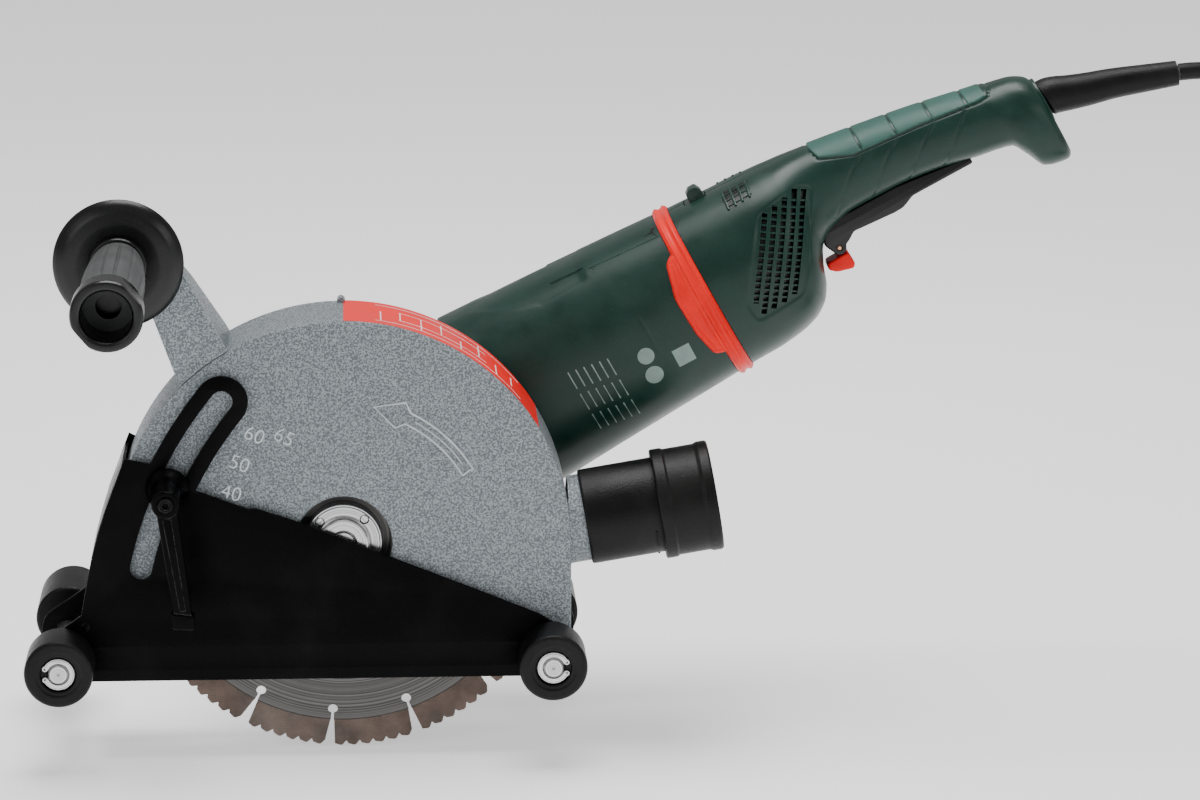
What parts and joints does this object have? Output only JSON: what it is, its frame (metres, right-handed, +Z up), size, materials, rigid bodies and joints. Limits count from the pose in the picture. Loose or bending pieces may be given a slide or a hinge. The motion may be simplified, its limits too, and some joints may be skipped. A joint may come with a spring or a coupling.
{
  "type": "wall chaser",
  "caption": "Wall chaser: angle-grinder motor in a dust hood with a segmented diamond blade, hose stub, side handle and a roller depth guide that tilts on a curved slot.",
  "frame": {"origin": "centre of the spindle's front end face, in the plane of the hood's front face", "axes": "+X along the direction of travel towards the motor and cable, +Y from the hood's front face towards the motor side, +Z up when the guide stands level"},
  "size_m": [0.7955, 0.2795, 0.3515],
  "materials": {
    "hammer_silver": "hammertone silver paint",
    "cast_aluminium": "as cast, satin",
    "body_green": "fine moulded texture",
    "soft_grip": "soft touch",
    "signal_red": "smooth moulded",
    "black_plastic": "fine moulded texture",
    "black_paint": "satin powder coat",
    "black_rubber": "dull",
    "bright_steel": "turned, bright",
    "blade_steel": "ground steel core with sintered brown segments",
    "copper": "bright copper",
    "core_iron": "dark machined"
  },
  "bodies": {
    "machine": {"hood_front_shell": "hammer_silver", "hood_rear_plate": "hammer_silver", "hose_sleeve": "black_rubber", "side_handle_arm": "hammer_silver", "hand_guard": "black_plastic", "side_grip": "black_plastic", "handle_stud": "bright_steel", "gear_cover": "cast_aluminium", "gear_housing": "cast_aluminium", "spindle_bearing": "bright_steel", "motor_housing": "body_green", "damping_ring": "signal_red", "stator": "core_iron", "bearing_bracket": "cast_aluminium", "carbon_brush_near": "black_plastic", "carbon_brush_far": "black_plastic", "armature_bearing_front": "bright_steel", "armature_bearing_rear": "bright_steel", "clamp_bolt": "black_paint"},
    "hose_end": {"hose_socket": "black_rubber"},
    "blade_spindle": {"spindle": "bright_steel", "crown_gear": "core_iron", "inner_flange": "bright_steel", "diamond_blade": "blade_steel", "flange_nut": "bright_steel"},
    "armature": {"armature_shaft": "bright_steel", "pinion_gear": "core_iron", "cooling_fan": "black_plastic", "rotor_core": "core_iron", "commutator": "copper"},
    "rear_handle": {"handle_shell_near": "body_green", "handle_shell_far": "body_green", "grip_insert": "soft_grip", "switch_block": "black_plastic", "cable_sleeve": "black_rubber", "power_cord": "black_rubber", "cord_coil": "black_rubber", "cord_tail": "black_rubber", "plug": "black_rubber"},
    "latch_button": {"handle_latch_button": "body_green"},
    "trigger": {"trigger_paddle": "black_plastic", "lock_pin": "copper"},
    "lock_off": {"lock_off_lever": "signal_red"},
    "spindle_lock": {"spindle_lock_button": "black_plastic"},
    "clamp": {"clamp_lever": "black_paint"},
    "guide": {"guide_plate_near": "black_paint", "guide_plate_far": "black_paint", "guide_end_plate": "black_paint", "front_axle": "bright_steel", "rear_axle": "bright_steel", "retaining_ring_front_near": "bright_steel", "retaining_ring_front_far": "bright_steel", "retaining_ring_rear_near": "bright_steel", "retaining_ring_rear_far": "bright_steel", "roller_spacer_front": "bright_steel", "roller_spacer_rear": "bright_steel"},
    "front_roller_near": {"roller_front_near": "black_rubber"},
    "front_roller_far": {"roller_front_far": "black_rubber"},
    "rear_roller_near": {"roller_rear_near": "black_rubber"},
    "rear_roller_far": {"roller_rear_far": "black_rubber"}
  },
  "joints": [
    {"name": "depth_guide_tilt", "type": "hinge", "parent": "machine", "child": "guide", "pos_m": [0.1093, 0, -0.0605], "axis": [0, 1, 0], "range_deg": [-14, 12]},
    {"name": "clamp_lever_turn", "type": "hinge", "parent": "machine", "child": "clamp", "pos_m": [-0.09132, -0.02, 0.0322], "axis": [0, 1, 0], "range_deg": [-75, 30]},
    {"name": "blade_spin", "type": "hinge", "parent": "machine", "child": "blade_spindle", "pos_m": [0, 0.012, 0], "axis": [0, 1, 0], "continuous": true},
    {"name": "armature_spin", "type": "hinge", "parent": "machine", "child": "armature", "pos_m": [0.08704, 0.105, 0.04924], "axis": [0.8704, 0, 0.4924], "continuous": true},
    {"name": "hose_end_turn", "type": "hinge", "parent": "machine", "child": "hose_end", "pos_m": [0.112, 0.0245, 0.0036], "axis": [0.9863, 0, 0.165], "continuous": true},
    {"name": "rear_handle_turn", "type": "hinge", "parent": "machine", "child": "rear_handle", "pos_m": [0.20105, 0.105, 0.11375], "axis": [0.8704, 0, 0.4924], "range_deg": [-90, 90]},
    {"name": "latch_button_press", "type": "slide", "parent": "rear_handle", "child": "latch_button", "axis": [0.4924, 0, -0.8704], "range_m": [0, 0.003], "stiffness_N_per_m": 600},
    {"name": "trigger_squeeze", "type": "hinge", "parent": "rear_handle", "child": "trigger", "pos_m": [0.33717, 0.105, 0.18387], "axis": [0, 1, 0], "range_deg": [0, 5], "stiffness_Nm_per_rad": 6, "springref_deg": -5.73},
    {"name": "lock_off_push", "type": "hinge", "parent": "trigger", "child": "lock_off", "pos_m": [0.27062, 0.105, 0.13599], "axis": [0, 1, 0], "range_deg": [-20, 0], "stiffness_Nm_per_rad": 0.2, "springref_deg": 5.73},
    {"name": "spindle_lock_press", "type": "slide", "parent": "machine", "child": "spindle_lock", "axis": [0.4924, 0, -0.8704], "range_m": [0, 0.0025], "stiffness_N_per_m": 600},
    {"name": "front_roller_near_spin", "type": "hinge", "parent": "guide", "child": "front_roller_near", "pos_m": [-0.149, -0.018, -0.0605], "axis": [0, 1, 0], "continuous": true},
    {"name": "front_roller_far_spin", "type": "hinge", "parent": "guide", "child": "front_roller_far", "pos_m": [-0.149, 0.092, -0.0605], "axis": [0, 1, 0], "continuous": true},
    {"name": "rear_roller_near_spin", "type": "hinge", "parent": "guide", "child": "rear_roller_near", "pos_m": [0.1093, -0.018, -0.0605], "axis": [0, 1, 0], "continuous": true},
    {"name": "rear_roller_far_spin", "type": "hinge", "parent": "guide", "child": "rear_roller_far", "pos_m": [0.1093, 0.092, -0.0605], "axis": [0, 1, 0], "continuous": true}
  ],
  "couplings": [
    {"joint": "armature_spin", "follows": "blade_spin", "ratio": 3.7}
  ]
}
